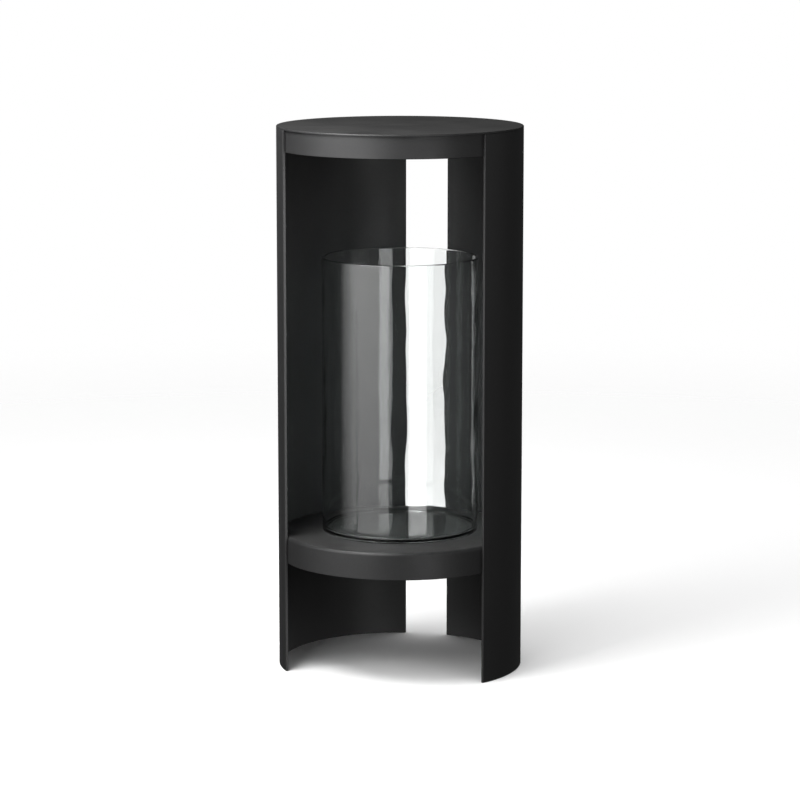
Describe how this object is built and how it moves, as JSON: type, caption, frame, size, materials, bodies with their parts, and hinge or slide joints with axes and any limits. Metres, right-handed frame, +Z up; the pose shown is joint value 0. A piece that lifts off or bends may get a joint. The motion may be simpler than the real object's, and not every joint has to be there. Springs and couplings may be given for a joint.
{
  "type": "candle lantern",
  "caption": "Round candle lantern: two curved black sheet panels, a flat cap and a raised shelf that carries an open clear glass cylinder.",
  "frame": {"origin": "on the round body's axis, in the plane of the panels' lower edges that it stands on", "axes": "+Z up along the body's axis; the wide front opening faces -Y and the rear slit faces +Y; +X is to the right as seen from the front"},
  "size_m": [0.18, 0.18, 0.4],
  "materials": {
    "black_powder_coat": "fine-textured semi-matt black powder coat on steel sheet",
    "clear_glass": "clear glass with a fire-polished rim",
    "zinc_plated_steel": "bright zinc plating on small steel fixings"
  },
  "bodies": {
    "frame": {"left_panel": "black_powder_coat", "right_panel": "black_powder_coat", "top_cap": "black_powder_coat", "candle_shelf": "black_powder_coat", "cap_left_front_stud": "zinc_plated_steel", "cap_left_front_washer": "zinc_plated_steel", "cap_left_front_nut": "zinc_plated_steel", "cap_left_rear_stud": "zinc_plated_steel", "cap_left_rear_washer": "zinc_plated_steel", "cap_left_rear_nut": "zinc_plated_steel", "cap_right_front_stud": "zinc_plated_steel", "cap_right_front_washer": "zinc_plated_steel", "cap_right_front_nut": "zinc_plated_steel", "cap_right_rear_stud": "zinc_plated_steel", "cap_right_rear_washer": "zinc_plated_steel", "cap_right_rear_nut": "zinc_plated_steel", "shelf_left_front_stud": "zinc_plated_steel", "shelf_left_front_washer": "zinc_plated_steel", "shelf_left_front_nut": "zinc_plated_steel", "shelf_left_rear_stud": "zinc_plated_steel", "shelf_left_rear_washer": "zinc_plated_steel", "shelf_left_rear_nut": "zinc_plated_steel", "shelf_right_front_stud": "zinc_plated_steel", "shelf_right_front_washer": "zinc_plated_steel", "shelf_right_front_nut": "zinc_plated_steel", "shelf_right_rear_stud": "zinc_plated_steel", "shelf_right_rear_washer": "zinc_plated_steel", "shelf_right_rear_nut": "zinc_plated_steel"},
    "glass": {"glass_cylinder": "clear_glass"}
  },
  "joints": [
    {"name": "glass_draw_out", "type": "slide", "parent": "frame", "child": "glass", "axis": [0, -1, 0], "range_m": [0, 0.16]}
  ]
}
